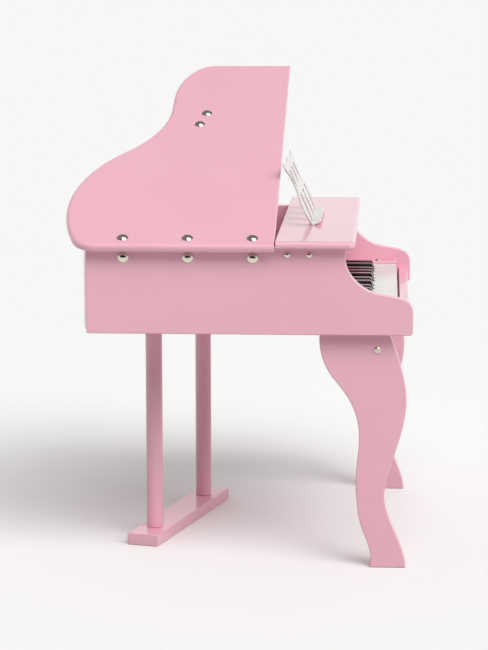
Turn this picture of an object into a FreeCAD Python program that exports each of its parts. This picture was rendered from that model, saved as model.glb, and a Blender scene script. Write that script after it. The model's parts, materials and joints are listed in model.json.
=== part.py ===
"""Toy baby grand piano in painted wood, with a raised lid, a music rest and thirty sounding keys.

Millimetres, +Z up, the keyboard at the front (-Y), the bass side at -X. The origin lies on the floor
below the middle of the piano. Every piece is written to parts/ under its own name.
"""
import FreeCAD
import Part
import math
import os

from FreeCAD import Vector

OUT_DIR = "parts"

# Case
TOP_WIDTH = 508.0         # across the top board and the lid
PIANO_LENGTH = 425.5      # from the cheeks' front to the lid's tail
OVERHANG = 15.0           # of the top board and lid beyond the case sides
TAIL_OVERHANG = 19.8      # of the lid beyond the rim at the tail
WALL = 12.0               # side panels and bent rim
TOP_THICK = 9.5           # top board and lid
BASE_THICK = 9.0          # bottom board
CASE_BASE = 291.0         # underside of the case above the floor
CASE_DEPTH = 105.5        # height of the case sides
RIM_RUN = 15.3            # straight run of the rim before its treble corner
PANEL_REVEAL = 1.0        # of the bass panel past the rim's end
EDGE_ROUND = 1.5          # softened edges of painted boards

# Cheeks: the scoop at the panels' front end, as (distance from the front, drop from the top edge)
CHEEK_SCOOP = ((81.5, 9.5), (76.2, 30.9), (63.1, 45.3), (49.0, 53.3), (28.5, 57.8), (10.5, 61.8))
CHEEK_NOSE = ((10.5, 61.8), (3.4, 67.5), (0.0, 77.5))
CHEEK_TOE = 5.0           # radius of the lower front corner

# Plan outline of the lid, from the treble side round to the tail
TREBLE_CORNER = (105.0, 50.0)  # rear treble corner, a quarter of an ellipse
BENTSIDE_FROM_TAIL = 107.2  # from the lid's tail forward to its straight rear edge
BENTSIDE_FLAT = 27.0      # straight run before the hollow
HOLLOW_PART = 0.465       # of the two radii in the sweep from hollow to tail
TAIL_FROM_BASS = 99.0     # from the lid's bass edge to the tail's furthest point
TAIL_CORNER = 30.0        # radius of the rear bass corner

# Top board and its batten
SHELF_SETBACK = 69.8      # from the cheeks' front to the top board's front edge
SHELF_DEPTH = 95.2
SHELF_CORNER = 9.0        # radius of its front corners in plan
LID_SEAM = 1.5            # between the top board and the lid
TOP_ROUND = 5.0           # upper edges of the top board and lid
BATTEN_SIZE = (44.0, 13.5)
NAME_BOARD_SETBACK = 94.5
NAME_BOARD_THICK = 9.0
NAME_BOARD_CLEAR = 4.5    # over the black keys

# Lid hinges
LID_OPEN = 22.0           # degrees
LID_GAP = 0.5             # between the closed lid and the case
HINGE_COUNT = 3
HINGE_FROM_SEAM = 26.3    # from the lid's front edge to the first hinge
HINGE_FROM_TAIL = 76.6    # from the lid's tail to the last hinge
HINGE_LENGTH = 30.0
LEAF_THICK = 1.2
LEAF_REACH = 24.0         # lid leaf across the lid, case leaf down the panel
KNUCKLE_RADIUS = 2.0
PIN_RADIUS = 1.0
KNUCKLE_CLEAR = 0.3       # around a knuckle and between neighbours
RUNNING_CLEAR = 0.1       # around a pin or rod that something turns on

# Dome-headed bolts and the prop's pivot screw
DOME_RADIUS = 6.9
DOME_HEIGHT = 4.2
SCREW_HEAD_RADIUS = 4.0
SCREW_HEAD_HEIGHT = 2.6
SCREW_BITE = 9.0          # of the pivot screw in its block
SHANK_RADIUS = 2.0
HEAD_RIM = 0.8            # straight part of a head below its dome
SHANK_CLEAR = 0.05
LID_BOLT_INSET = 5.0      # from the hinge axis into the lid
SIDE_BOLT_DROP = 12.3     # below the case's top edge

# Lid prop
PAD_SIZE = (54.0, 20.0, 10.0)
PAD_REACH = 327.0         # from the hinge axis to the pad's middle
PAD_FROM_BENTSIDE = 44.4  # from the lid's straight rear edge to the pad's middle
PAD_SKEW = -12.4          # degrees in plan
PAD_BOLT_PITCH = 33.0
PROP_REACH = 308.0        # from the hinge axis to the prop's tip
PROP_LEAN = 16.0          # degrees from upright
PROP_DROP = 18.5          # pivot below the case's top edge
PROP_WIDTH = 12.0
PROP_THICK = 10.0
PROP_CLEAR = 0.3
BRACKET_SIZE = (34.0, 30.0)

# Legs
LEG_THICK = 15.0
LEG_INSET = 17.0          # of the front legs' outer faces from the case sides
LEG_SETBACK = 42.7        # from the cheeks' front to the leg's middle
LEG_KNEE_FRONT = ((-14.0, 0.0), (-25.4, 30.0), (-33.3, 60.0), (-35.8, 84.0), (-33.0, 109.0))
LEG_FOOT_FRONT = ((-13.4, 112.6), (-9.8, 88.8), (-15.4, 62.9), (-31.6, 23.0), (-36.4, 0.0))
LEG_KNEE_REAR = ((70.0, 0.0), (69.6, 18.0), (57.0, 51.0), (42.0, 70.0), (30.0, 90.0), (23.4, 110.0))
LEG_FOOT_REAR = ((25.4, 107.7), (24.0, 81.8), (18.7, 51.8), (6.8, 14.0), (8.5, 0.0))
LEG_RAIL_SIZE = (15.0, 40.0)
FOOT_BAR_SIZE = (279.0, 41.0, 15.0)
FOOT_BAR_ASIDE = 4.0      # of its middle to the treble side
FOOT_BAR_FROM_TAIL = 122.4
FOOT_BAR_SKEW = -15.1     # degrees in plan
POST_RADIUS = 10.6
POST_SPREAD = 93.75       # of each post from the bar's middle
POST_CHAMFER = 1.0

# Keys
GROUP_COUNTS = (3, 4, 3, 4, 3, 1)   # white keys between the breaks of the black ones
KEY_BLOCK_WIDTH = 16.4
KEY_GAP = 0.8
KEY_LIFT = 8.0            # over the bottom board
KEY_THICK = 10.0
KEY_SETBACK = 18.7        # from the cheeks' front to the white keys
WHITE_HEAD = 29.6         # full-width part of a white key
BLACK_HEIGHT = 10.3       # over the white keys
BLACK_INSET = 1.1         # of the raised block from each side of its stick
BLACK_SLOPE = 3.2
BLACK_LENGTH = 54.0
KEY_BEVEL = 1.2
SLIP_SETBACK = 4.5
SLIP_THICK = 11.4
SLIP_HEIGHT = 20.0
KEY_BLOCK_HEIGHT = 21.0   # over the bottom board

# Key action
PIVOT_SETBACK = 105.0     # from the cheeks' front to the balance rod
PIVOT_LIFT = 3.5          # over the keys' underside
BALANCE_ROD_RADIUS = 1.5
BALANCE_RAIL_WIDTH = 18.0
BALANCE_LUG = 9.0
KEY_DIP = 3.5             # degrees
HAMMER_REACH = 55.0       # from the pivot to the hammer
HAMMER_SIZE = (8.0, 10.0, 24.0)
KEY_TAIL = 7.0            # past the hammer's middle
STRIKE_CLEAR = 0.5
FELT_CLEAR = 0.3
FELT_WIDTH = 14.0
CHIME_SIZE = (8.0, 2.5)   # width and thickness
CHIME_BASS = 130.0        # length past the rail of the longest bar
CHIME_TREBLE = 60.0       # and of the shortest
CHIME_SEAT = 8.0
CHIME_RAIL = 16.0
CHIME_RAIL_FROM_HAMMER = 15.0

# Music rest
REST_SETBACK = 124.8      # from the cheeks' front to its foot
REST_LEAN = 25.0          # degrees
REST_THICK = 2.0
REST_LEDGE = 11.0
REST_SIDE = ((88.0, 0.0), (100.0, 8.0), (109.5, 20.0), (108.0, 32.0), (92.0, 43.5), (76.0, 54.0),
             (79.0, 65.0), (96.0, 74.0), (107.0, 81.0), (101.0, 87.0))
REST_SCALLOP = 5.0
REST_SLOT_ROWS = ((4.0, 40.0, 43.0, 61.0), (51.0, 73.0, 26.0, 54.0))  # foot, head, width and pitch
REST_SLOT_ROUND = 6.0
REST_TAB_SIZE = (16.0, 5.0)
REST_TAB_APART = 61.0

# Places that follow from the sizes above
FRONT = -PIANO_LENGTH / 2
TAIL = PIANO_LENGTH / 2
BENTSIDE_Y = TAIL - BENTSIDE_FROM_TAIL
CASE_TOP = CASE_BASE + CASE_DEPTH
CASE_HALF = TOP_WIDTH / 2 - OVERHANG
INNER_HALF = CASE_HALF - WALL
BASE_TOP = CASE_BASE + BASE_THICK
SHELF_FRONT = FRONT + SHELF_SETBACK
SHELF_REAR = SHELF_FRONT + SHELF_DEPTH
SHELF_TOP = CASE_TOP + TOP_THICK
LID_FRONT = SHELF_REAR + LID_SEAM
LID_UNDER = CASE_TOP + LID_GAP
SLIP_REAR = FRONT + SLIP_SETBACK + SLIP_THICK
NAME_BOARD_FRONT = FRONT + NAME_BOARD_SETBACK
HINGE_X = -CASE_HALF - KNUCKLE_RADIUS - KNUCKLE_CLEAR
HINGE_Z = CASE_TOP + LID_GAP / 2
FIRST_HINGE, LAST_HINGE = LID_FRONT + HINGE_FROM_SEAM, TAIL - HINGE_FROM_TAIL
HINGE_PITCH = (LAST_HINGE - FIRST_HINGE) / (HINGE_COUNT - 1)
HINGE_YS = [FIRST_HINGE + i * HINGE_PITCH for i in range(HINGE_COUNT)]
PAD_Y = BENTSIDE_Y - PAD_FROM_BENTSIDE
LEG_Y = FRONT + LEG_SETBACK
LEG_OUTER = CASE_HALF - LEG_INSET
LEG_INNER = LEG_OUTER - LEG_THICK
KEYS_HALF = INNER_HALF - KEY_BLOCK_WIDTH
KEY_PITCH = 2 * KEYS_HALF / sum(GROUP_COUNTS)
KEY_BASE = BASE_TOP + KEY_LIFT
WHITE_TOP = KEY_BASE + KEY_THICK
KEY_FRONT = FRONT + KEY_SETBACK
HEAD_REAR = KEY_FRONT + WHITE_HEAD
BLACK_TOP = WHITE_TOP + BLACK_HEIGHT
PIVOT_Y = FRONT + PIVOT_SETBACK
PIVOT_Z = KEY_BASE + PIVOT_LIFT
HAMMER_Y = PIVOT_Y + HAMMER_REACH
HAMMER_TOP = WHITE_TOP + HAMMER_SIZE[2]
HAMMER_RISE = (HAMMER_REACH + HAMMER_SIZE[1] / 2) * math.sin(math.radians(KEY_DIP))
CHIME_Z = HAMMER_TOP + HAMMER_RISE + STRIKE_CLEAR + CHIME_SIZE[1] / 2
CHIME_RAIL_REAR = HAMMER_Y - CHIME_RAIL_FROM_HAMMER
KEY_REAR = HAMMER_Y + KEY_TAIL
KEY_FRONT_DIP = (PIVOT_Y - KEY_FRONT) * math.sin(math.radians(KEY_DIP))
REST_Y = FRONT + REST_SETBACK
BATTEN_FRONT = SHELF_REAR - BATTEN_SIZE[0] - TOP_ROUND

X_AXIS, Y_AXIS, Z_AXIS = Vector(1, 0, 0), Vector(0, 1, 0), Vector(0, 0, 1)
SAME = 1e-4               # nearer than this is the same place


def box(x_range, y_range, z_range):
    """A block between two X, two Y and two Z values."""
    corner = Vector(x_range[0], y_range[0], z_range[0])
    sizes = [high - low for low, high in (x_range, y_range, z_range)]
    return Part.makeBox(*sizes, corner)


def cylinder(start, direction, radius, length):
    return Part.makeCylinder(radius, length, start, direction)


def polyline(points):
    """Straight edges through points in turn."""
    return [Part.makeLine(a, b) for a, b in zip(points, points[1:]) if a.distanceToPoint(b) > SAME]


def smooth(points):
    """One smooth edge through points."""
    curve = Part.BSplineCurve()
    curve.interpolate(points)
    return curve.toShape()


def prism(edges, direction):
    """A solid swept along a vector from the closed outline that edges make."""
    return Part.Face(Part.Wire(edges)).extrude(direction)


def joined(shapes):
    """One solid from pieces that touch or overlap."""
    return shapes[0].fuse(shapes[1:]).removeSplitter()


def grouped(shapes):
    """Separate pieces kept together as one compound."""
    return Part.makeCompound(list(shapes))


def edges_at(shape, z):
    """The edges of a shape that lie at one height."""
    return [edge for edge in shape.Edges
            if abs(edge.BoundBox.ZMin - z) < SAME and abs(edge.BoundBox.ZMax - z) < SAME]


def along_line(edge, y):
    """Whether an edge runs straight along X at one Y."""
    return edge.BoundBox.YLength < SAME and abs(edge.BoundBox.YMin - y) < SAME


def headed(at, direction, head_radius, head_height, length):
    """A turned fastener: domed head on the surface at a point, shank running back along direction."""
    cap = head_height - HEAD_RIM
    ball = (head_radius ** 2 + cap ** 2) / (2 * cap)
    half_angle = math.asin(head_radius / ball) / 2
    middle = Vector(ball * math.sin(half_angle), 0, head_height - ball + ball * math.cos(half_angle))
    rim_top, crown = Vector(head_radius, 0, HEAD_RIM), Vector(0, 0, head_height)
    foot = Vector(0, 0, -length)
    edges = polyline([crown, foot, foot + Vector(SHANK_RADIUS, 0, 0), Vector(SHANK_RADIUS, 0, 0),
                      Vector(head_radius, 0, 0), rim_top])
    edges.append(Part.Arc(rim_top, middle, crown).toShape())
    turned = Part.Face(Part.Wire(edges)).revolve(Vector(0, 0, 0), Z_AXIS, 360)
    turned.Placement = FreeCAD.Placement(at, FreeCAD.Rotation(Z_AXIS, direction * -1))
    return turned


def drilled(shape, fasteners, length):
    """The shape with shank holes for fasteners given as (point, direction)."""
    holes = [cylinder(at - direction, direction, SHANK_RADIUS + SHANK_CLEAR, length + 1)
             for at, direction in fasteners]
    return shape.cut(holes)


def opened(shape):
    """A piece of the closed lid, turned up about the hinge to where the lid stands open."""
    turned = shape.copy()
    turned.rotate(Vector(HINGE_X, 0, HINGE_Z), Y_AXIS * -1, LID_OPEN)
    return turned


def arc_about(centre, start, end):
    """The shorter arc about a centre from start to end."""
    towards = (start - centre).normalize() + (end - centre).normalize()
    middle = centre + towards.normalize() * start.distanceToPoint(centre)
    return Part.Arc(start, middle, end).toShape()


def sweep_radii(run, rise):
    """Sum of the radii of two arcs that swing from one straight line over to a parallel one."""
    return (run ** 2 + rise ** 2) / (2 * rise)


def plan_outline(inset, tail_inset, front, z, tail_corner=0.0):
    """Edges of the grand-piano outline, drawn in from the lid's edge."""
    half = TOP_WIDTH / 2 - inset
    rear = BENTSIDE_Y - inset
    across, along = TREBLE_CORNER
    corner = Vector(TOP_WIDTH / 2 - across, BENTSIDE_Y - along, z)
    hollow_x, tail_x = corner.x - BENTSIDE_FLAT, TAIL_FROM_BASS - TOP_WIDTH / 2
    hollow_radius = HOLLOW_PART * sweep_radii(hollow_x - tail_x, BENTSIDE_FROM_TAIL) + inset
    tail_y = TAIL - tail_inset
    tail_radius = sweep_radii(hollow_x - tail_x, tail_y - rear) - hollow_radius
    hollow = Vector(hollow_x, rear + hollow_radius, z)
    tail = Vector(tail_x, tail_y - tail_radius, z)
    turn = hollow + (tail - hollow) * (hollow_radius / (hollow_radius + tail_radius))

    bass_front, treble_front = Vector(-half, front, z), Vector(half, front, z)
    side_end, rear_start = Vector(half, corner.y, z), Vector(corner.x, rear, z)
    rear_end = Vector(hollow_x, rear, z)
    edges = polyline([bass_front, treble_front, side_end])
    edges.append(Part.Arc(Part.Ellipse(side_end, rear_start, corner), 0, math.pi / 2).toShape())
    edges += polyline([rear_start, rear_end])
    edges.append(arc_about(hollow, rear_end, turn))
    bend_x = tail_corner - half
    reach = tail_radius - tail_corner
    bend = Vector(bend_x, tail.y + math.sqrt(reach ** 2 - (bend_x - tail_x) ** 2), z)
    bass_rear = Vector(-half, bend.y, z)
    if tail_corner:
        tail_end = tail + (bend - tail) * (tail_radius / reach)
        edges += [arc_about(tail, turn, tail_end), arc_about(bend, tail_end, bass_rear)]
    else:
        edges.append(arc_about(tail, turn, bass_rear))
    edges += polyline([bass_rear, bass_front])
    return edges


def case_interior():
    """The space inside the case walls."""
    edges = plan_outline(OVERHANG + WALL, TAIL_OVERHANG + WALL, SLIP_REAR, CASE_BASE)
    return prism(edges, Z_AXIS * CASE_DEPTH)


def side_panel(x_outer, rear):
    """One case side with its scooped cheek."""
    def at(setback, drop):
        return Vector(x_outer, FRONT + setback, CASE_TOP - drop)

    scoop = [at(*place) for place in CHEEK_SCOOP]
    toe = Vector(x_outer, FRONT + CHEEK_TOE, CASE_BASE + CHEEK_TOE)
    toe_top, toe_end = toe - Y_AXIS * CHEEK_TOE, toe - Z_AXIS * CHEEK_TOE
    edges = polyline([toe_end, Vector(x_outer, rear, CASE_BASE), Vector(x_outer, rear, CASE_TOP),
                      at(CHEEK_SCOOP[0][0], 0.0), scoop[0]])
    edges.append(smooth(scoop))
    edges.append(Part.Arc(*[at(*place) for place in CHEEK_NOSE]).toShape())
    edges += polyline([at(*CHEEK_NOSE[-1]), toe_top])
    edges.append(arc_about(toe, toe_top, toe_end))
    return prism(edges, X_AXIS * math.copysign(WALL, -x_outer))


def hinge_recesses():
    """What the case leaves take out of the bass panel's top edge."""
    half = HINGE_LENGTH / 2 + KNUCKLE_CLEAR
    return [box((-CASE_HALF, -INNER_HALF), (y - half, y + half), (CASE_TOP - LEAF_THICK, CASE_TOP))
            for y in HINGE_YS]


def hinge_bolt_places():
    """Dome bolts through the bass panel, as (point, direction)."""
    return [(Vector(-CASE_HALF, y, CASE_TOP - SIDE_BOLT_DROP), X_AXIS) for y in HINGE_YS]


def case_walls():
    """Side panels, bent rim and bottom board."""
    interior = case_interior()
    outer_edges = plan_outline(OVERHANG, TAIL_OVERHANG, SLIP_REAR, CASE_BASE)
    outer = prism(outer_edges, Z_AXIS * CASE_DEPTH)
    joint = BENTSIDE_Y - TREBLE_CORNER[1] - RIM_RUN
    behind_joint = box((-INNER_HALF, TOP_WIDTH), (joint, PIANO_LENGTH), (CASE_BASE, CASE_TOP))
    rim = outer.cut(interior).common(behind_joint)
    bass_end = max(vertex.Y for vertex in rim.Vertexes if vertex.X < SAME - INNER_HALF)

    bass = side_panel(-CASE_HALF, bass_end + PANEL_REVEAL).cut(hinge_recesses())
    floor = interior.common(box((-TOP_WIDTH, TOP_WIDTH), (SLIP_REAR, PIANO_LENGTH), (CASE_BASE, BASE_TOP)))
    return {"bass_side_panel": drilled(bass, hinge_bolt_places(), WALL), "bent_rim": rim,
            "treble_side_panel": side_panel(CASE_HALF, joint), "bottom_board": floor}


def rest_tab_ranges():
    """X ranges of the music rest's two tabs."""
    half = REST_TAB_SIZE[0] / 2
    return [(side * REST_TAB_APART / 2 - half, side * REST_TAB_APART / 2 + half) for side in (-1, 1)]


def rest_tabs(clear):
    """Tabs below the music rest, in the plane of its leaning panel."""
    y_range, z_range = (-clear, REST_THICK + clear), (-REST_TAB_SIZE[1], REST_THICK)
    return [box((low - clear, high + clear), y_range, z_range) for low, high in rest_tab_ranges()]


def leaned_back(shape):
    """A piece of the music rest, drawn upright about its foot line, leaned back and set on the board."""
    turned = shape.copy()
    turned.rotate(Vector(0, 0, 0), X_AXIS, -REST_LEAN)
    turned.translate(Vector(0, REST_Y, SHELF_TOP))
    return turned


def top_board():
    """The shelf over the keys, its edges rounded all but the one along the lid."""
    half = TOP_WIDTH / 2
    board = box((-half, half), (SHELF_FRONT, SHELF_REAR), (CASE_TOP, SHELF_TOP))
    corners = [edge for edge in board.Edges
               if edge.BoundBox.ZLength > SAME and along_line(edge, SHELF_FRONT)]
    board = round_top_edges(board.makeFillet(SHELF_CORNER, corners), SHELF_TOP, SHELF_REAR)
    return board.cut([leaned_back(tab) for tab in rest_tabs(SHANK_CLEAR)])


def round_top_edges(board, top, square_y):
    """Rounds a board's upper edges, leaving the one along the seam of lid and top board square."""
    edges = [edge for edge in edges_at(board, top) if not along_line(edge, square_y)]
    return board.makeFillet(TOP_ROUND, edges)


def shelf_pieces():
    """Top board, the batten under it and the name board behind the keys."""
    batten = box((-INNER_HALF, INNER_HALF), (BATTEN_FRONT, BATTEN_FRONT + BATTEN_SIZE[0]),
                 (CASE_TOP - BATTEN_SIZE[1], CASE_TOP))
    name_board = box((-INNER_HALF, INNER_HALF), (NAME_BOARD_FRONT, NAME_BOARD_FRONT + NAME_BOARD_THICK),
                     (BLACK_TOP + NAME_BOARD_CLEAR, CASE_TOP))
    return {"top_board": top_board(), "shelf_batten": batten,
            "name_board": name_board}


def lid_bolt_places():
    """Dome bolts through the lid: one over each hinge and two over the prop pad."""
    top = LID_UNDER + TOP_THICK
    places = [Vector(HINGE_X + LID_BOLT_INSET, y, top) for y in HINGE_YS]
    skew = math.radians(PAD_SKEW)
    along = Vector(math.cos(skew), math.sin(skew), 0) * (PAD_BOLT_PITCH / 2)
    places += [Vector(HINGE_X + PAD_REACH, PAD_Y, top) + along * side for side in (-1, 1)]
    return [(place, Z_AXIS * -1) for place in places]


def lid_pieces():
    """The open lid with its bolts and the pad that the prop bears on."""
    edges = plan_outline(0.0, 0.0, LID_FRONT, LID_UNDER, TAIL_CORNER)
    lid = round_top_edges(prism(edges, Z_AXIS * TOP_THICK), LID_UNDER + TOP_THICK, LID_FRONT)
    half, around = HINGE_LENGTH / 2 + KNUCKLE_CLEAR, KNUCKLE_RADIUS + KNUCKLE_CLEAR
    for y in HINGE_YS:
        y_range = (y - half, y + half)
        groove = box((HINGE_X - around, HINGE_X + around), y_range, (LID_UNDER, HINGE_Z + around))
        leaf = box((HINGE_X, HINGE_X + LEAF_REACH), y_range, (LID_UNDER, LID_UNDER + LEAF_THICK))
        lid = lid.cut([groove, leaf])
    pad = box((-PAD_SIZE[0] / 2, PAD_SIZE[0] / 2), (-PAD_SIZE[1] / 2, PAD_SIZE[1] / 2), (-PAD_SIZE[2], 0))
    pad.Placement = FreeCAD.Placement(Vector(HINGE_X + PAD_REACH, PAD_Y, LID_UNDER),
                                      FreeCAD.Rotation(Z_AXIS, PAD_SKEW))
    places = lid_bolt_places()
    hinge_length, pad_length = TOP_THICK, TOP_THICK + PAD_SIZE[2] / 2
    lengths = [hinge_length] * HINGE_COUNT + [pad_length] * (len(places) - HINGE_COUNT)
    bolts = grouped(headed(at, direction, DOME_RADIUS, DOME_HEIGHT, length)
                          for (at, direction), length in zip(places, lengths))
    return {"lid": opened(drilled(lid, places, pad_length)), "lid_dome_bolts": opened(bolts),
            "prop_rest_pad": opened(drilled(pad, places[HINGE_COUNT:], pad_length))}


def knuckle(y_range, radius):
    """A barrel, pin or bore of a hinge, about the hinge axis."""
    return cylinder(Vector(HINGE_X, y_range[0], HINGE_Z), Y_AXIS, radius, y_range[1] - y_range[0])


def case_leaf(y):
    """The leaf over the bass panel's top edge and down its inner face, with middle knuckle and pin."""
    half, third = HINGE_LENGTH / 2, HINGE_LENGTH / 6 - KNUCKLE_CLEAR / 2
    whole, middle = (y - half, y + half), (y - third, y + third)
    plate_z = (CASE_TOP - LEAF_THICK, CASE_TOP)
    top = box((KNUCKLE_CLEAR - CASE_HALF, LEAF_THICK - INNER_HALF), whole, plate_z)
    neck = box((HINGE_X, KNUCKLE_CLEAR - CASE_HALF), middle, plate_z)
    drop = box((-INNER_HALF, LEAF_THICK - INNER_HALF), whole, (CASE_TOP - LEAF_REACH, CASE_TOP))
    return joined([top, neck, drop, knuckle(middle, KNUCKLE_RADIUS), knuckle(whole, PIN_RADIUS)])


def lid_leaf(y):
    """The leaf let into the closed lid's underside, with a knuckle at each end."""
    half, third = HINGE_LENGTH / 2, HINGE_LENGTH / 6 + KNUCKLE_CLEAR / 2
    plate_z = (LID_UNDER, LID_UNDER + LEAF_THICK)
    near = HINGE_X + KNUCKLE_RADIUS + KNUCKLE_CLEAR
    pieces = [box((near, HINGE_X + LEAF_REACH), (y - half, y + half), plate_z)]
    for y_range in ((y - half, y - third), (y + third, y + half)):
        pieces += [box((HINGE_X, near), y_range, plate_z), knuckle(y_range, KNUCKLE_RADIUS)]
    return joined(pieces).cut(knuckle((y - half, y + half), PIN_RADIUS + RUNNING_CLEAR))


def hinge_pieces():
    """The lid hinges, and the bolts that hold them to the bass panel."""
    bolt_length = WALL + LEAF_THICK
    lid_leaves = drilled(grouped(lid_leaf(y) for y in HINGE_YS), lid_bolt_places(), TOP_THICK)
    case_leaves = drilled(grouped(case_leaf(y) for y in HINGE_YS), hinge_bolt_places(), bolt_length)
    bolts = grouped(headed(at, direction, DOME_RADIUS, DOME_HEIGHT, bolt_length)
                          for at, direction in hinge_bolt_places())
    return {"hinge_case_leaves": case_leaves, "hinge_lid_leaves": opened(lid_leaves),
            "side_dome_bolts": bolts}


def prop_line():
    """The prop's pivot and tip in the X-Z plane, the tip just under the open lid's pad."""
    turn, lean = math.radians(LID_OPEN), math.radians(PROP_LEAN)
    below = HINGE_Z - LID_UNDER + PAD_SIZE[2] + PROP_WIDTH / 2 + PROP_CLEAR
    tip_x = HINGE_X + PROP_REACH * math.cos(turn) + below * math.sin(turn)
    tip_z = HINGE_Z + PROP_REACH * math.sin(turn) - below * math.cos(turn)
    pivot_z = CASE_TOP - PROP_DROP
    rise = tip_z - pivot_z
    return Vector(tip_x - rise * math.tan(lean), PAD_Y, pivot_z), rise / math.cos(lean)


def pivot_screw_place():
    """The prop's pivot screw as (point, direction), its head just clear of the prop."""
    pivot, _ = prop_line()
    return pivot - Y_AXIS * (PROP_THICK / 2 + PROP_CLEAR), Y_AXIS


def prop_pieces():
    """The lid prop, round at both ends, its pivot screw and the block on the rim that carries it."""
    pivot, length = prop_line()
    front, rear = PAD_Y - PROP_THICK / 2, PAD_Y + PROP_THICK / 2
    foot, tip = Vector(pivot.x, front, pivot.z), Vector(pivot.x + length, front, pivot.z)
    half = PROP_WIDTH / 2
    bar = box((foot.x, tip.x), (front, rear), (pivot.z - half, pivot.z + half))
    prop = joined([bar] + [cylinder(end, Y_AXIS, half, PROP_THICK) for end in (foot, tip)])
    bore = cylinder(foot, Y_AXIS, SHANK_RADIUS + RUNNING_CLEAR, PROP_THICK)
    prop = prop.cut(bore)
    prop.rotate(pivot, Y_AXIS * -1, 90 - PROP_LEAN)

    interior = case_interior()
    across, height = BRACKET_SIZE
    block = box((pivot.x - across / 2, pivot.x + across / 2), (rear + PROP_CLEAR, PIANO_LENGTH),
                (pivot.z - height / 2, pivot.z + height / 2))
    screw_length = PROP_THICK + 2 * PROP_CLEAR + SCREW_BITE
    bracket = drilled(block.common(interior), [pivot_screw_place()], screw_length)
    at, direction = pivot_screw_place()
    screw = joined([cylinder(at, direction * -1, SCREW_HEAD_RADIUS, SCREW_HEAD_HEIGHT),
                    cylinder(at, direction, SHANK_RADIUS, screw_length)])
    return {"lid_prop": prop, "prop_bracket": bracket, "prop_pivot_screw": screw}


def front_leg(x_outer):
    """One cabriole leg cut from board: its knee follows the case, its foot the floor."""
    def curve(knee, foot):
        heights = [(offset, CASE_BASE - drop) for offset, drop in knee] + list(foot)
        return [Vector(x_outer, LEG_Y + offset, height) for offset, height in heights]

    front, rear = curve(LEG_KNEE_FRONT, LEG_FOOT_FRONT), curve(LEG_KNEE_REAR, LEG_FOOT_REAR)
    sole, top = Part.makeLine(front[-1], rear[-1]), Part.makeLine(rear[0], front[0])
    edges = [smooth(front), sole, smooth(rear), top]
    return prism(edges, X_AXIS * math.copysign(LEG_THICK, -x_outer))


def leg_pieces():
    """Front legs and their rail, rear posts and the skewed bar they stand on."""
    half_rail, rail_height = LEG_RAIL_SIZE[0] / 2, LEG_RAIL_SIZE[1]
    rail = box((-LEG_INNER, LEG_INNER), (LEG_Y - half_rail, LEG_Y + half_rail),
               (CASE_BASE - rail_height, CASE_BASE))
    length, width, height = FOOT_BAR_SIZE
    bar = box((-length / 2, length / 2), (-width / 2, width / 2), (0, height))
    bar = bar.makeChamfer(POST_CHAMFER, bar.Edges)
    post_height = CASE_BASE - height
    posts = []
    for side in (-1, 1):
        post = cylinder(Vector(side * POST_SPREAD, 0, height), Z_AXIS, POST_RADIUS, post_height)
        posts.append(post.makeChamfer(POST_CHAMFER, [edge for edge in post.Edges if len(edge.Vertexes) == 1]))
    place = FreeCAD.Placement(Vector(FOOT_BAR_ASIDE, TAIL - FOOT_BAR_FROM_TAIL, 0),
                              FreeCAD.Rotation(Z_AXIS, FOOT_BAR_SKEW))
    bar.Placement = place
    standing = grouped(posts)
    standing.Placement = place
    return {"front_leg_bass": front_leg(-LEG_OUTER), "front_leg_treble": front_leg(LEG_OUTER),
            "leg_rail": rail, "rear_foot_bar": bar, "rear_posts": standing}


def key_lanes():
    """Each key from bass to treble as (white, lane's X range, head's X range)."""
    lanes, start = [], -KEYS_HALF
    for whites in GROUP_COUNTS:
        count = 2 * whites - 1
        width = whites * KEY_PITCH / count
        for i in range(count):
            head = start + i // 2 * KEY_PITCH
            lanes.append((i % 2 == 0, (start + i * width, start + (i + 1) * width), (head, head + KEY_PITCH)))
        start += whites * KEY_PITCH
    return lanes


def narrowed(x_range):
    """An X range with half the gap between keys taken off each end."""
    return x_range[0] + KEY_GAP / 2, x_range[1] - KEY_GAP / 2


def hammer(x_middle):
    """The upright striker at a key's rear end, its top bevelled to a ridge."""
    width, depth, height = HAMMER_SIZE
    front, rear = HAMMER_Y - depth / 2, HAMMER_Y + depth / 2
    top, shoulder, foot = WHITE_TOP + height, WHITE_TOP + height - depth / 2, WHITE_TOP - KEY_BEVEL
    ridge = HAMMER_Y - KEY_BEVEL, HAMMER_Y + KEY_BEVEL
    corners = [(front, foot), (rear, foot), (rear, shoulder), (ridge[1], top), (ridge[0], top),
               (front, shoulder), (front, foot)]
    return prism(polyline([Vector(x_middle - width / 2, y, z) for y, z in corners]), X_AXIS * width)


def white_key(lane, head):
    """A white key: wide head with a bevelled front, narrow tail between its neighbours."""
    (tail_low, tail_high), (low, high) = narrowed(lane), narrowed(head)
    corners = [(low, KEY_FRONT), (high, KEY_FRONT), (high, HEAD_REAR), (tail_high, HEAD_REAR),
               (tail_high, KEY_REAR), (tail_low, KEY_REAR), (tail_low, HEAD_REAR), (low, HEAD_REAR),
               (low, KEY_FRONT)]
    slab = prism(polyline([Vector(x, y, KEY_BASE) for x, y in corners]), Z_AXIS * KEY_THICK)
    front = [edge for edge in edges_at(slab, WHITE_TOP) if along_line(edge, KEY_FRONT)]
    return slab.makeChamfer(KEY_BEVEL, front)


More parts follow.
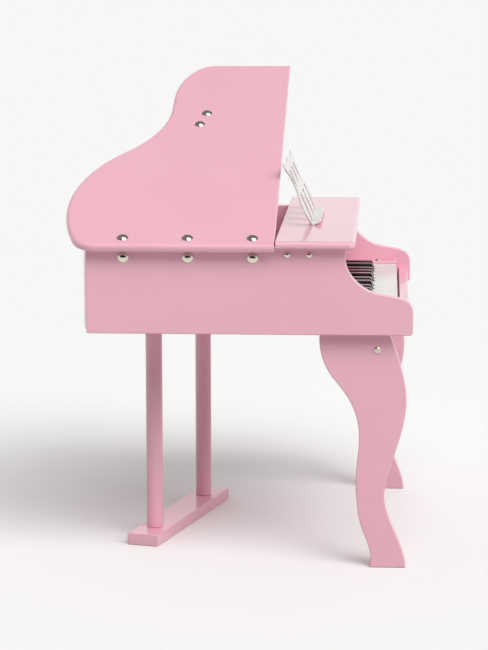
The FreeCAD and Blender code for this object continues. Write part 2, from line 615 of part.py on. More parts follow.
def black_key(lane):
    """A black key: a stick between the white tails with a raised, bevelled block on it."""
    low, high = narrowed(lane)
    front = HEAD_REAR + KEY_GAP
    stick = box((low, high), (front, KEY_REAR), (KEY_BASE, WHITE_TOP))
    corners = [(front, WHITE_TOP), (front + BLACK_LENGTH, WHITE_TOP), (front + BLACK_LENGTH, BLACK_TOP),
               (front + BLACK_SLOPE, BLACK_TOP), (front, WHITE_TOP)]
    block = prism(polyline([Vector(low + BLACK_INSET, y, z) for y, z in corners]),
                  X_AXIS * (high - low - 2 * BLACK_INSET))
    return joined([stick, block.makeChamfer(KEY_BEVEL, edges_at(block, BLACK_TOP))])


def key_pieces():
    """All the keys, numbered from the bass, each with a striker and a notch over the balance rod."""
    pieces = {}
    around = BALANCE_ROD_RADIUS + RUNNING_CLEAR
    notch = box((-INNER_HALF, INNER_HALF), (PIVOT_Y - around, PIVOT_Y + around), (KEY_BASE, PIVOT_Z + around))
    counts = {"white": 0, "black": 0}
    for white, lane, head in key_lanes():
        colour = "white" if white else "black"
        counts[colour] += 1
        key = white_key(lane, head) if white else black_key(lane)
        pieces[f"{colour}_key_{counts[colour]:02d}"] = joined([key, hammer(sum(lane) / 2)]).cut(notch)
    return pieces


def keybed_pieces():
    """Slip in front of the keys, blocks beside them, felts under them."""
    slip_front, slip_top = FRONT + SLIP_SETBACK, CASE_BASE + SLIP_HEIGHT
    slip = box((-INNER_HALF, INNER_HALF), (slip_front, SLIP_REAR), (CASE_BASE, slip_top))
    slip = slip.makeFillet(EDGE_ROUND, [edge for edge in edges_at(slip, slip_top)
                                        if along_line(edge, slip_front) or along_line(edge, SLIP_REAR)])
    block_top = BASE_TOP + KEY_BLOCK_HEIGHT
    blocks = []
    for side in (-1, 1):
        x_range = sorted((side * (KEYS_HALF + KEY_GAP), side * INNER_HALF))
        block = box(x_range, (KEY_FRONT, NAME_BOARD_FRONT), (BASE_TOP, block_top))
        nose = [edge for edge in edges_at(block, block_top) if along_line(edge, KEY_FRONT)]
        blocks.append(block.makeFillet(EDGE_ROUND, nose))
    front_felt = KEY_FRONT + KEY_GAP
    rear_felt = KEY_REAR - FELT_WIDTH
    felts = [box((-KEYS_HALF, KEYS_HALF), (front_felt, front_felt + FELT_WIDTH),
                 (BASE_TOP, KEY_BASE - KEY_FRONT_DIP - FELT_CLEAR)),
             box((-KEYS_HALF, KEYS_HALF), (rear_felt, KEY_REAR), (BASE_TOP, KEY_BASE - FELT_CLEAR))]
    return {"key_slip": slip, "key_felts": grouped(felts), "key_blocks": grouped(blocks)}


def action_pieces():
    """Balance rail and rod that the keys rock on, chime bars and the rail that holds them."""
    rail_y = (PIVOT_Y - BALANCE_RAIL_WIDTH / 2, PIVOT_Y + BALANCE_RAIL_WIDTH / 2)
    rail_top = PIVOT_Z - 2 * BALANCE_ROD_RADIUS - KEY_LIFT / 2
    rail_half = KEYS_HALF + KEY_GAP + BALANCE_LUG
    lug_top = PIVOT_Z + 2 * BALANCE_ROD_RADIUS
    balance = [box((-rail_half, rail_half), rail_y, (BASE_TOP, rail_top))]
    chime_y = (CHIME_RAIL_REAR - CHIME_RAIL, CHIME_RAIL_REAR)
    chime_z = (CHIME_Z - CHIME_RAIL / 2, CHIME_Z + CHIME_RAIL / 2)
    holder = [box((-rail_half, rail_half), chime_y, chime_z)]
    for side in (-1, 1):
        end = sorted((side * (rail_half - BALANCE_LUG), side * rail_half))
        balance.append(box(end, rail_y, (BASE_TOP, lug_top)))
        holder.append(box(end, chime_y, (BASE_TOP, chime_z[1])))
    rod = cylinder(Vector(-rail_half, PIVOT_Y, PIVOT_Z), X_AXIS, BALANCE_ROD_RADIUS, 2 * rail_half)

    half_width, half_thick = CHIME_SIZE[0] / 2, CHIME_SIZE[1] / 2
    lanes = key_lanes()
    step = (CHIME_TREBLE / CHIME_BASS) ** (1 / (len(lanes) - 1))
    chimes = []
    for i, (_, lane, _) in enumerate(lanes):
        x = sum(lane) / 2
        bar_y = (CHIME_RAIL_REAR - CHIME_SEAT, CHIME_RAIL_REAR + CHIME_BASS * step ** i)
        bar_z = (CHIME_Z - half_thick, CHIME_Z + half_thick)
        chimes.append(box((x - half_width, x + half_width), bar_y, bar_z))
    return {"balance_rail": joined(balance).cut(rod), "balance_rod": rod, "chime_bars": grouped(chimes),
            "chime_rail": joined(holder).cut(chimes)}


def music_rest():
    """The leaning white rest: waisted panel with scalloped top, two rows of slots, a ledge and two tabs."""
    right = [Vector(x, 0, z) for x, z in REST_SIDE]
    left = [Vector(-point.x, 0, point.z) for point in reversed(right)]
    top = Vector(0, 0, right[-1].z)
    edges = [Part.makeLine(left[-1], right[0]), smooth(right)]
    for start, end in ((right[-1], top), (top, left[0])):
        dip = (start + end) * 0.5 - Z_AXIS * REST_SCALLOP
        edges.append(Part.Arc(start, dip, end).toShape())
    edges.append(smooth(left))
    panel = prism(edges, Y_AXIS * REST_THICK)
    slots = []
    for low, high, width, pitch in REST_SLOT_ROWS:
        for x in (-pitch, 0.0, pitch):
            slot = box((x - width / 2, x + width / 2), (0, REST_THICK), (low, high))
            corners = [edge for edge in slot.Edges if edge.BoundBox.YLength > SAME]
            slots.append(slot.makeFillet(REST_SLOT_ROUND, corners))
    ledge_half = REST_SIDE[0][0]
    ledge = box((-ledge_half, ledge_half), (-REST_LEDGE, 0), (0, REST_THICK))
    lip = [edge for edge in edges_at(ledge, REST_THICK) if along_line(edge, -REST_LEDGE)]
    ledge = ledge.makeFillet(REST_THICK / 3, lip)
    foot = leaned_back(joined([panel.cut(slots), ledge]))
    over_board = box((-TOP_WIDTH, TOP_WIDTH), (FRONT, TAIL), (SHELF_TOP, 2 * SHELF_TOP))
    return joined([foot.common(over_board)] + [leaned_back(tab) for tab in rest_tabs(0.0)])


def build():
    """Every piece of the piano by name."""
    pieces = {}
    for group in (case_walls, shelf_pieces, lid_pieces, hinge_pieces, prop_pieces, leg_pieces, key_pieces,
                  keybed_pieces, action_pieces):
        pieces.update(group())
    pieces["music_rest"] = music_rest()
    return pieces


os.makedirs(OUT_DIR, exist_ok=True)
for name, shape in build().items():
    shape.exportStep(os.path.join(OUT_DIR, name + ".step"))
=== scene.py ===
"""A pink toy baby grand piano with its lid propped open: finishes, soft edges, bolts, light and camera."""
import json
import math

import bmesh
import bpy
import numpy as np
from mathutils import Matrix, Vector


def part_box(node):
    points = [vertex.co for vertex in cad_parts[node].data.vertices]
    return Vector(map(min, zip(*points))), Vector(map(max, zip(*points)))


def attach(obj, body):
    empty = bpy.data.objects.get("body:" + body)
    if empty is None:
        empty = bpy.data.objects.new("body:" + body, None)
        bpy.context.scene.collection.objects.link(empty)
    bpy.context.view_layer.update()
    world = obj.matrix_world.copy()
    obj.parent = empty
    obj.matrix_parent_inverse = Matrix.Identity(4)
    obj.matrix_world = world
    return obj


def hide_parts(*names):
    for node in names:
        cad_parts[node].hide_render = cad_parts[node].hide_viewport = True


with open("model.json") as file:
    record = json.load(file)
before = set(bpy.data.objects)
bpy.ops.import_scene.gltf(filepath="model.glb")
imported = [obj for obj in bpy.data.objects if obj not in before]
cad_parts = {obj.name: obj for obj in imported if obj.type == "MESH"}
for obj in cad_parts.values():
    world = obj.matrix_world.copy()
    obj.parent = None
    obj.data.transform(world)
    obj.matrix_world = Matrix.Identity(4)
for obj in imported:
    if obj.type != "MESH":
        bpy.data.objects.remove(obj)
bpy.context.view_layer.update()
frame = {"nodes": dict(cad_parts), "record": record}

MM = 0.001
UPWARD = (0, 0, 1)

# Camera, fitted to the photograph
IMAGE_WIDTH = 488
SENSOR_WIDTH = 36.0            # mm
FOCAL_PIXELS = 2385.0
CAMERA_PLACE = (-3.0675, -0.1808, 0.7597)
CAMERA_YAW = 3.465             # degrees, from +X towards +Y
CAMERA_PITCH = 9.158           # degrees, downwards
CAMERA_ROLL = -0.097           # degrees
CAMERA_FAR = 60.0

# Light and floor
BACKDROP = (0.930, 0.930, 0.930, 1.0)
AMBIENT = (1.0, 0.995, 0.985, 1.0)
AMBIENT_LEVEL = 0.42
BACKDROP_LEVEL = 1.0           # light from the pale backdrop behind the piano
BACKDROP_EDGE = (-0.1, 0.5)    # where it sets in, going from above down to the backdrop
LAMPS = {                      # level on a white card that faces the lamp, direction, softness in degrees
    "key_light": (0.435, (0.80, 0.90, -1.0), 40.0),
    "side_light": (0.40, (0.76, 0.26, -1.0), 40.0),
}
DARK_CARD = (1.19, 1.0)        # half width and height of the dark end behind the camera, at distance 1
DARK_BLUR = 0.04
DARK_LEVEL = 0.03              # of the light that is left there
GLOSS_EDGE = (0.26, 0.36)      # sines of elevation, where mirrored backdrop turns into a dim wall
GLOSS_TOP = 0.25               # level of that wall
FLOOR_COLOUR = (0.930, 0.930, 0.926, 1.0)
FLOOR_BOUNCE = (0.50, 0.50, 0.50, 1.0)   # what of it lights the piano from below
FLOOR_RADIUS = 5.0
FLOOR_SIDES = 96
FLOOR_FADE = (0.9, 1.7)        # where the lit floor turns into plain backdrop

# Finishes: sockets of shaders, noises and bumps, with noise scales per metre
NOISE_RANGE = (0.3, 0.7)       # where most of a noise's values lie
EVEN = (1.0, 1.0, 1.0)
LACQUER = {"IOR": 1.5, "Specular IOR Level": 0.08, "Coat IOR": 1.5, "Coat Roughness": 0.06}
LACQUER_DRIFT = {"Scale": 11.0, "Detail": 3.0}
LACQUER_GRIT = {"Scale": 700.0, "Detail": 3.0}
LACQUER_RIPPLE = {"Scale": 150.0, "Detail": 2.0, "Roughness": 0.4}
LACQUER_DEPTH = 0.2 * MM
LACQUER_SPREAD = 0.05          # of roughness, to either side
WOOD = {"IOR": 1.45, "Specular IOR Level": 0.3}
WOOD_GRAIN = {"Scale": 3.0, "Detail": 6.0, "Roughness": 0.6}
WOOD_GRAIN_STRETCH = (60.0, 4.0, 60.0)
WOOD_PORES = {"Scale": 1.0, "Detail": 2.0}
WOOD_PORE_STRETCH = (900.0, 60.0, 900.0)
WOOD_ROUGHNESS = (0.55, 0.75)
WOOD_BUMP = {"Strength": 0.25, "Distance": 0.1 * MM}
PLASTIC = {"IOR": 1.49, "Specular IOR Level": 0.5, "Coat Weight": 0.25, "Coat Roughness": 0.12,
           "Subsurface Weight": 0.12, "Subsurface Radius": (4 * MM, 4 * MM, 4 * MM), "Subsurface Scale": 1.0}
PLASTIC_FLOW = {"Scale": 2.0, "Detail": 3.0}
PLASTIC_FLOW_STRETCH = (20.0, 6.0, 6.0)
PLASTIC_GRAIN = {"Scale": 1600.0, "Detail": 2.0}
PLASTIC_SPREAD = 0.06          # of roughness, to either side
PLASTIC_BUMP = {"Strength": 0.06, "Distance": 0.05 * MM}
METAL_CLOUD = {"Scale": 260.0, "Detail": 3.0}
METAL_LINES = {"Scale": 1500.0, "Detail": 2.0}
METAL_DEPTH = 0.02 * MM
METAL_SPREAD = 0.3             # share of roughness, to either side
FELT = {"Roughness": 0.95, "Sheen Weight": 0.6, "Sheen Roughness": 0.5, "Specular IOR Level": 0.1}
FELT_FIBRES = {"Scale": 900.0, "Detail": 5.0, "Roughness": 0.7}
FELT_BUMP = {"Strength": 0.6, "Distance": 0.3 * MM}

# Softened edges
WELD = 0.1 * MM                # corners this near to each other become one
FLAT_ANGLE = 0.2               # degrees, faces this near to flat become one
SHARP_ANGLE = 50.0             # degrees, outer edges over this are rounded
BROAD = 3.0                    # widths of a rounding, the least breadth of the faces beside it
ROUND_STEPS = 3
FLAT_WEIGHT = 100              # the most, so that small faces don't bend the shade of large ones
BOARD_ROUND = 1.6 * MM
TOP_BOARD_ROUND = 3.2 * MM
WHITE_KEY_ROUND = 1.2 * MM
BLACK_KEY_ROUND = 0.9 * MM
PLASTIC_ROUND = 0.6 * MM
METAL_ROUND = 0.15 * MM
BOARDS = ["bass_side_panel", "treble_side_panel", "bent_rim", "bottom_board", "key_slip", "key_blocks",
          "name_board", "shelf_batten", "lid", "front_leg_bass", "front_leg_treble", "leg_rail",
          "rear_posts", "rear_foot_bar", "prop_rest_pad", "lid_prop", "prop_bracket"]
KEYS = [name for name in frame["nodes"] if "_key_" in name]

# Round-headed bolts: radius and height of the heads, and their places
BOLT_SIDES = 36
BOLT_RIM = 0.25                # of the head's height, straight
BOLT_STEPS = 6                 # over the rounded part
BOLT_CROWN = 0.09              # of the head's radius, flat on top
BOLT_BURIED = 0.3 * MM
SOCKET_FLATS = 6
SOCKET_SHARE = 0.42            # of the head's radius
SOCKET_TAPER = 0.85
SOCKET_DEPTH = 0.6             # of the head's height
SIDE_BOLT = (3.8 * MM, 3.2 * MM)
SIDE_BOLT_SPREAD = 13.15 * MM  # to either side of the batten's middle
SIDE_BOLT_DROP = 8.2 * MM      # below the top of the case
LEG_BOLT = (4.3 * MM, 2.6 * MM)
LEG_BOLT_DROP = 19.8 * MM      # below the case
BLOCK_BOLT = (4.4 * MM, 3.0 * MM)
BLOCK_BOLT_PLACE = 1 / 3       # of the block's length, from its front

slots = {part["node"]: part["material_slot"] for part in frame["record"]["subparts"]}
body_of = {node: body for body, nodes in frame["record"]["behaviour"]["bodies"].items() for node in nodes}


def emptied(owner):
    """The node tree of a new material or world, with nothing in it."""
    owner.use_nodes = True
    owner.node_tree.nodes.clear()
    return owner.node_tree


def add(tree, kind, values=None, **settings):
    """A node of that kind with its settings, each input linked to a socket or set to a plain value."""
    node = tree.nodes.new(kind)
    for name, value in settings.items():
        setattr(node, name, value)
    for name, value in (values or {}).items():
        if isinstance(value, bpy.types.NodeSocket):
            tree.links.new(value, node.inputs[name])
        else:
            node.inputs[name].default_value = value
    return node


def place(tree, stretch=EVEN):
    """The piece's own coordinates in metres, stretched by a factor along each axis."""
    coordinates = add(tree, "ShaderNodeTexCoord")
    mapping = add(tree, "ShaderNodeMapping", {"Vector": coordinates.outputs["Object"], "Scale": stretch})
    return mapping.outputs["Vector"]


def noise(tree, vector, values):
    """A noise over those coordinates."""
    return add(tree, "ShaderNodeTexNoise", {"Vector": vector, **values}).outputs["Fac"]


def spread(tree, value, low, high, start=NOISE_RANGE[0], stop=NOISE_RANGE[1]):
    """A value carried from start and stop to low and high."""
    node = add(tree, "ShaderNodeMapRange",
               {"Value": value, "From Min": start, "From Max": stop, "To Min": low, "To Max": high})
    return node.outputs["Result"]


def two_tone(tree, value, deep, pale):
    """Two colours that blend over the range of a noise."""
    ramp = add(tree, "ShaderNodeValToRGB", {"Fac": value})
    for mark, position, colour in zip(ramp.color_ramp.elements, NOISE_RANGE, (deep, pale)):
        mark.position = position
        mark.color = (*colour, 1.0)
    return ramp.outputs["Color"]


def calculate(tree, operation, *values):
    """The result of an operation on values, each a socket or a number."""
    return add(tree, "ShaderNodeMath", dict(enumerate(values)), operation=operation).outputs["Value"]


def bump(tree, height, values):
    """A normal that follows small heights."""
    return add(tree, "ShaderNodeBump", {"Height": height, **values}).outputs["Normal"]


def mix(tree, share, first, second):
    """One shader that turns into another as the share goes from 0 to 1."""
    return add(tree, "ShaderNodeMixShader", {"Fac": share, 1: first, 2: second}).outputs["Shader"]


def principled(tree, values):
    """The Principled shader of a material, with its output."""
    shader = add(tree, "ShaderNodeBsdfPrincipled", values)
    add(tree, "ShaderNodeOutputMaterial", {"Surface": shader.outputs["BSDF"]})


def lacquer(tree, deep, pale, roughness, peel, coat):
    """Sprayed paint: a faint drift of tone, the fine ripple of the spray, and a clear gloss over it."""
    vector = place(tree)
    drift, grit, ripple = (noise(tree, vector, values)
                           for values in (LACQUER_DRIFT, LACQUER_GRIT, LACQUER_RIPPLE))
    surface = bump(tree, ripple, {"Strength": peel, "Distance": LACQUER_DEPTH})
    principled(tree, {
        "Base Color": two_tone(tree, drift, deep, pale),
        "Roughness": spread(tree, grit, roughness - LACQUER_SPREAD, roughness + LACQUER_SPREAD),
        "Normal": surface, "Coat Normal": surface, "Coat Weight": coat, **LACQUER})


def wood(tree, deep, pale):
    """Bare pale wood with its grain along Y and short pores in it."""
    grain = noise(tree, place(tree, WOOD_GRAIN_STRETCH), WOOD_GRAIN)
    pores = noise(tree, place(tree, WOOD_PORE_STRETCH), WOOD_PORES)
    principled(tree, {
        "Base Color": two_tone(tree, grain, deep, pale),
        "Roughness": spread(tree, pores, *WOOD_ROUGHNESS),
        "Normal": bump(tree, pores, WOOD_BUMP), **WOOD})


def plastic(tree, deep, pale, roughness):
    """Moulded plastic with a fine satin grain and faint flow marks."""
    flow = noise(tree, place(tree, PLASTIC_FLOW_STRETCH), PLASTIC_FLOW)
    grain = noise(tree, place(tree), PLASTIC_GRAIN)
    principled(tree, {
        "Base Color": two_tone(tree, flow, deep, pale),
        "Roughness": spread(tree, grain, roughness - PLASTIC_SPREAD, roughness + PLASTIC_SPREAD),
        "Normal": bump(tree, grain, PLASTIC_BUMP), **PLASTIC})


def metal(tree, deep, pale, roughness, brushed, scratch):
    """Plated or bare metal: fine scratches along one direction, and slight clouding."""
    cloud = noise(tree, place(tree), METAL_CLOUD)
    lines = noise(tree, place(tree, brushed), METAL_LINES)
    principled(tree, {
        "Base Color": two_tone(tree, cloud, deep, pale),
        "Roughness": spread(tree, lines, roughness * (1 - METAL_SPREAD), roughness * (1 + METAL_SPREAD)),
        "Normal": bump(tree, lines, {"Strength": scratch, "Distance": METAL_DEPTH}), "Metallic": 1.0})


def felt(tree, deep, pale):
    """Pressed felt: clumped fibres and a soft sheen."""
    fibres = noise(tree, place(tree), FELT_FIBRES)
    principled(tree, {
        "Base Color": two_tone(tree, fibres, deep, pale),
        "Normal": bump(tree, fibres, FELT_BUMP), **FELT})


FINISHES = {
    "pink_lacquer": (lacquer, {"deep": (0.890, 0.475, 0.577), "pale": (0.910, 0.490, 0.592),
                               "roughness": 0.34, "peel": 0.05, "coat": 0.75}),
    "white_lacquer": (lacquer, {"deep": (0.77, 0.80, 0.775), "pale": (0.80, 0.83, 0.805),
                                "roughness": 0.30, "peel": 0.04, "coat": 0.5}),
    "black_lacquer": (lacquer, {"deep": (0.003, 0.003, 0.003), "pale": (0.006, 0.006, 0.006),
                                "roughness": 0.30, "peel": 0.06, "coat": 1.0}),
    "bare_wood": (wood, {"deep": (0.52, 0.36, 0.21), "pale": (0.70, 0.54, 0.36)}),
    "rest_plastic": (plastic, {"deep": (0.745, 0.74, 0.72), "pale": (0.775, 0.77, 0.75), "roughness": 0.34}),
    "bolt_chrome": (metal, {"deep": (0.66, 0.62, 0.52), "pale": (0.74, 0.70, 0.59),
                            "roughness": 0.07, "brushed": EVEN, "scratch": 0.05}),
    "hinge_steel": (metal, {"deep": (0.50, 0.50, 0.50), "pale": (0.60, 0.60, 0.60),
                            "roughness": 0.24, "brushed": (1.0, 40.0, 1.0), "scratch": 0.12}),
    "chime_steel": (metal, {"deep": (0.45, 0.45, 0.46), "pale": (0.56, 0.56, 0.57),
                            "roughness": 0.26, "brushed": (40.0, 1.0, 40.0), "scratch": 0.12}),
    "chime_alloy": (metal, {"deep": (0.68, 0.69, 0.70), "pale": (0.78, 0.79, 0.80),
                            "roughness": 0.30, "brushed": (60.0, 1.0, 60.0), "scratch": 0.12}),
    "felt": (felt, {"deep": (0.26, 0.03, 0.04), "pale": (0.40, 0.06, 0.07)}),
}
finishes = {name: bpy.data.materials.new(name) for name in FINISHES}
for name, (paint, look) in FINISHES.items():
    paint(emptied(finishes[name]), **look)


def new_piece(name, mesh, slot, body):
    """A piece of that mesh, with its slot's finish, that moves with the body."""
    piece = bpy.data.objects.new(name, mesh)
    bpy.context.scene.collection.objects.link(piece)
    mesh.materials.clear()
    mesh.materials.append(finishes[slot])
    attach(piece, body)
    return piece


def smooth_patches(shape, sharp):
    """The faces in groups, each bounded by sharp edges."""
    left = set(shape.faces)
    while left:
        patch, waiting = [], [left.pop()]
        while waiting:
            face = waiting.pop()
            patch.append(face)
            beside = {other for edge in face.edges if edge not in sharp for other in edge.link_faces} & left
            left -= beside
            waiting.extend(beside)
        yield patch


def breadth(patch):
    """The second longest way across a group of faces, such as a hole's diameter or a groove's depth."""
    corners = np.array([corner.co for face in patch for corner in face.verts])
    corners -= corners.mean(axis=0)
    ways = np.linalg.svd(corners, full_matrices=False)[2]
    return sorted(np.ptp(corners @ ways.T, axis=0))[1]


def mark_edges(shape, width):
    """Bevel weights on the sharp outer edges between broad faces, with holes and grooves left sharp."""
    weight = shape.edges.layers.float.new("bevel_weight_edge")
    sharp = {edge for edge in shape.edges
             if edge.is_manifold and edge.calc_face_angle() > math.radians(SHARP_ANGLE)}
    narrow = {face for patch in smooth_patches(shape, sharp)
              if breadth(patch) < BROAD * width for face in patch}
    for edge in sharp:
        edge.smooth = edge.is_convex and narrow.isdisjoint(edge.link_faces)
        edge[weight] = float(edge.smooth)


def fill_mesh(mesh, shape, width):
    """The shape put into a mesh, smooth, with the edges marked that get rounded."""
    for face in shape.faces:
        face.smooth = True
    mark_edges(shape, width)
    shape.to_mesh(mesh)
    shape.free()


def round_edges(piece, width):
    """The marked edges rounded off, with the flat faces left flat."""
    rounding = piece.modifiers.new("rounded_edges", "BEVEL")
    rounding.width = width
    rounding.segments = ROUND_STEPS
    rounding.limit_method = "WEIGHT"
    rounding.use_clamp_overlap = False
    rounding.loop_slide = False
    shading = piece.modifiers.new("flat_faces", "WEIGHTED_NORMAL")
    shading.weight = FLAT_WEIGHT
    shading.keep_sharp = True


def softened(node, width):
    """The node's own corners and faces with the sharp edges rounded, standing for the node."""
    source = frame["nodes"][node].data
    mesh = bpy.data.meshes.new(node + "_soft")
    mesh.from_pydata([v.co for v in source.vertices], [], [p.vertices[:] for p in source.polygons])
    shape = bmesh.new()
    shape.from_mesh(mesh)
    bmesh.ops.remove_doubles(shape, verts=shape.verts, dist=WELD)
    bmesh.ops.dissolve_limit(shape, angle_limit=math.radians(FLAT_ANGLE), verts=shape.verts,
                             edges=shape.edges, use_dissolve_boundaries=False)
    fill_mesh(mesh, shape, width)
    piece = new_piece(node + "_soft", mesh, slots[node], body_of[node])
    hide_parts(node)
    round_edges(piece, width)


def bolt_profile(height, socket):
    """Radius share, height and whether six-sided, ring by ring from a head's foot to its middle."""
    rim = BOLT_RIM * height
    last = math.acos(SOCKET_SHARE if socket else BOLT_CROWN)
    rises = [last * step / BOLT_STEPS for step in range(BOLT_STEPS + 1)]
    profile = [(1.0, -BOLT_BURIED, False)]
    profile += [(math.cos(a), rim + (height - rim) * math.sin(a) / math.sin(last), False) for a in rises]
    if socket:
        profile += [(SOCKET_SHARE, height, True),
                    (SOCKET_SHARE * SOCKET_TAPER, height * (1 - SOCKET_DEPTH), True)]
    return profile


def socket_reach(turn):
    """How far a socket whose corners lie at 1 reaches in that direction."""
    side = math.tau / SOCKET_FLATS
    return math.cos(side / 2) / math.cos(turn % side - side / 2)


def round_bolt(name, size, spot, outward, socket=False):
    """A round-headed bolt, with a six-sided socket or plain, on a spot and pointing outward from it."""
    radius, height = size
    shape = bmesh.new()
    rings = []
    for share, level, six_sided in bolt_profile(height, socket):
        ring = []
        for i in range(BOLT_SIDES):
            turn = math.tau * i / BOLT_SIDES
            reach = radius * share * (socket_reach(turn) if six_sided else 1.0)
            ring.append(shape.verts.new((reach * math.cos(turn), reach * math.sin(turn), level)))
        rings.append(ring)
    for lower, upper in zip(rings, rings[1:]):
        for i in range(BOLT_SIDES):
            j = (i + 1) % BOLT_SIDES
            shape.faces.new((lower[i], lower[j], upper[j], upper[i]))
    shape.faces.new(reversed(rings[0]))
    shape.faces.new(rings[-1])
    aim = Vector(UPWARD).rotation_difference(Vector(outward)).to_matrix().to_4x4()
    bmesh.ops.transform(shape, matrix=Matrix.Translation(spot) @ aim, verts=shape.verts)
    mesh = bpy.data.meshes.new(name)
    fill_mesh(mesh, shape, METAL_ROUND)
    piece = new_piece(name, mesh, "bolt_chrome", "case")
    round_edges(piece, METAL_ROUND)


def dress_nodes():
    """Softened pieces for the boards, keys and music rest, and finishes on all other nodes."""
    roundings = {node: BOARD_ROUND for node in BOARDS}
    roundings |= {node: WHITE_KEY_ROUND if node.startswith("white") else BLACK_KEY_ROUND for node in KEYS}
    roundings |= {"top_board": TOP_BOARD_ROUND, "music_rest": PLASTIC_ROUND}
    for node, width in roundings.items():
        softened(node, width)
    for node, piece in frame["nodes"].items():
        if node not in roundings:
            piece.data.materials.clear()
            piece.data.materials.append(finishes[slots[node]])


def add_bolts():
    """The small bolts under the top board, at the legs and on the key blocks, alike on both sides."""
    case_low, case_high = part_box("bass_side_panel")
    treble_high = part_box("treble_side_panel")[1]
    batten_low, batten_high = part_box("shelf_batten")
    rail_low, rail_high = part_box("leg_rail")
    blocks_low, blocks_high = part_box("key_blocks")
    batten_y = (batten_low.y + batten_high.y) / 2
    rail_y = (rail_low.y + rail_high.y) / 2
    keys_edge = max(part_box(node)[1].x for node in KEYS)
    block_x = (keys_edge + blocks_high.x) / 2
    block_y = blocks_low.y + BLOCK_BOLT_PLACE * (blocks_high.y - blocks_low.y)
    for side, sign, face in (("bass", -1, case_low.x), ("treble", 1, treble_high.x)):
        outward = (sign, 0, 0)
        for end, y in (("front", batten_y - SIDE_BOLT_SPREAD), ("rear", batten_y + SIDE_BOLT_SPREAD)):
            spot = (face, y, case_high.z - SIDE_BOLT_DROP)
            round_bolt(f"side_bolt_{side}_{end}", SIDE_BOLT, spot, outward)
        leg_low, leg_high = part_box(f"front_leg_{side}")
        leg_face = leg_low.x if side == "bass" else leg_high.x
        spot = (leg_face, rail_y, case_low.z - LEG_BOLT_DROP)
        round_bolt(f"leg_bolt_{side}", LEG_BOLT, spot, outward, socket=True)
        spot = (sign * block_x, block_y, blocks_high.z)
        round_bolt(f"block_bolt_{side}", BLOCK_BOLT, spot, UPWARD)


def make_floor():
    """A round floor that keeps the object's shadow and turns into plain backdrop further out."""
    shape = bmesh.new()
    bmesh.ops.create_circle(shape, cap_ends=True, segments=FLOOR_SIDES, radius=FLOOR_RADIUS)
    mesh = bpy.data.meshes.new("floor")
    shape.to_mesh(mesh)
    shape.free()
    floor = bpy.data.objects.new("floor", mesh)
    bpy.context.scene.collection.objects.link(floor)
    finish = bpy.data.materials.new("floor")
    mesh.materials.append(finish)
    tree = emptied(finish)
    coordinates = add(tree, "ShaderNodeTexCoord")
    distance = add(tree, "ShaderNodeVectorMath", {0: coordinates.outputs["Object"]}, operation="LENGTH")
    fade = add(tree, "ShaderNodeMapRange", {"Value": distance.outputs["Value"], "From Min": FLOOR_FADE[0],
                                            "From Max": FLOOR_FADE[1]}, interpolation_type="SMOOTHSTEP")
    path = add(tree, "ShaderNodeLightPath")
    pale = add(tree, "ShaderNodeBsdfDiffuse", {"Color": FLOOR_COLOUR})
    dim = add(tree, "ShaderNodeBsdfDiffuse", {"Color": FLOOR_BOUNCE})
    plain = add(tree, "ShaderNodeEmission", {"Color": BACKDROP})
    lit = mix(tree, path.outputs["Is Diffuse Ray"], pale.outputs["BSDF"], dim.outputs["BSDF"])
    surface = mix(tree, fade.outputs["Result"], lit, plain.outputs["Emission"])
    add(tree, "ShaderNodeOutputMaterial", {"Surface": surface})


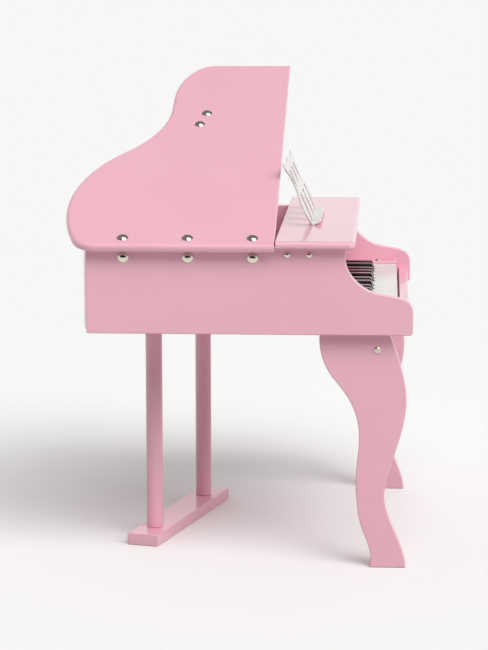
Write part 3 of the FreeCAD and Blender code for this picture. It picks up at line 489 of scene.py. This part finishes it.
def make_world():
    """Light from all round, with the pale backdrop where the camera or a gloss sees it."""
    world = bpy.data.worlds.new("studio")
    bpy.context.scene.world = world
    tree = emptied(world)
    path = add(tree, "ShaderNodeLightPath").outputs
    coordinates = add(tree, "ShaderNodeTexCoord")
    axes = add(tree, "ShaderNodeSeparateXYZ", {"Vector": coordinates.outputs["Generated"]}).outputs
    aside = calculate(tree, "DIVIDE", calculate(tree, "ABSOLUTE", axes["Y"]), DARK_CARD[0])
    above = calculate(tree, "DIVIDE", axes["Z"], DARK_CARD[1])
    outside = calculate(tree, "ADD", calculate(tree, "MAXIMUM", aside, above), axes["X"])
    open_part = spread(tree, outside, DARK_LEVEL, 1.0, -DARK_BLUR, DARK_BLUR)
    behind = calculate(tree, "SUBTRACT", axes["X"], axes["Z"])
    around = spread(tree, behind, AMBIENT_LEVEL, BACKDROP_LEVEL, *BACKDROP_EDGE)
    mirrored = spread(tree, axes["Z"], 1.0, GLOSS_TOP, *GLOSS_EDGE)
    light, gloss = (add(tree, "ShaderNodeBackground",
                        {"Color": colour, "Strength": calculate(tree, "MULTIPLY", open_part, level)})
                    for colour, level in ((AMBIENT, around), (BACKDROP, mirrored)))
    seen = add(tree, "ShaderNodeBackground", {"Color": BACKDROP})
    bounce = calculate(tree, "MAXIMUM", path["Is Glossy Ray"], path["Is Transmission Ray"])
    lit = mix(tree, bounce, light.outputs["Background"], gloss.outputs["Background"])
    surface = mix(tree, path["Is Camera Ray"], lit, seen.outputs["Background"])
    add(tree, "ShaderNodeOutputWorld", {"Surface": surface})


def make_lamps():
    """Broad lamps to the right of the camera, whose soft shadow falls back and to the left."""
    for name, (level, towards, softness) in LAMPS.items():
        lamp = bpy.data.lights.new(name, "SUN")
        lamp.energy = level * math.pi
        lamp.angle = math.radians(softness)
        holder = bpy.data.objects.new(name, lamp)
        holder.rotation_euler = Vector(towards).to_track_quat("-Z", "Y").to_euler()
        bpy.context.scene.collection.objects.link(holder)


def make_camera():
    """The camera of the photograph."""
    yaw, pitch, roll = (math.radians(a) for a in (CAMERA_YAW, CAMERA_PITCH, CAMERA_ROLL))
    ahead = Vector((math.cos(pitch) * math.cos(yaw), math.cos(pitch) * math.sin(yaw), -math.sin(pitch)))
    data = bpy.data.cameras.new("camera")
    data.sensor_fit = "HORIZONTAL"
    data.sensor_width = SENSOR_WIDTH
    data.lens = FOCAL_PIXELS / IMAGE_WIDTH * SENSOR_WIDTH
    data.clip_end = CAMERA_FAR
    camera = bpy.data.objects.new("camera", data)
    turn = ahead.to_track_quat("-Z", "Y").to_matrix() @ Matrix.Rotation(roll, 3, "Z")
    camera.matrix_world = Matrix.Translation(CAMERA_PLACE) @ turn.to_4x4()
    bpy.context.scene.collection.objects.link(camera)
    bpy.context.scene.camera = camera


dress_nodes()
add_bolts()
make_floor()
make_world()
make_lamps()
make_camera()
bpy.context.scene.view_settings.view_transform = "Standard"
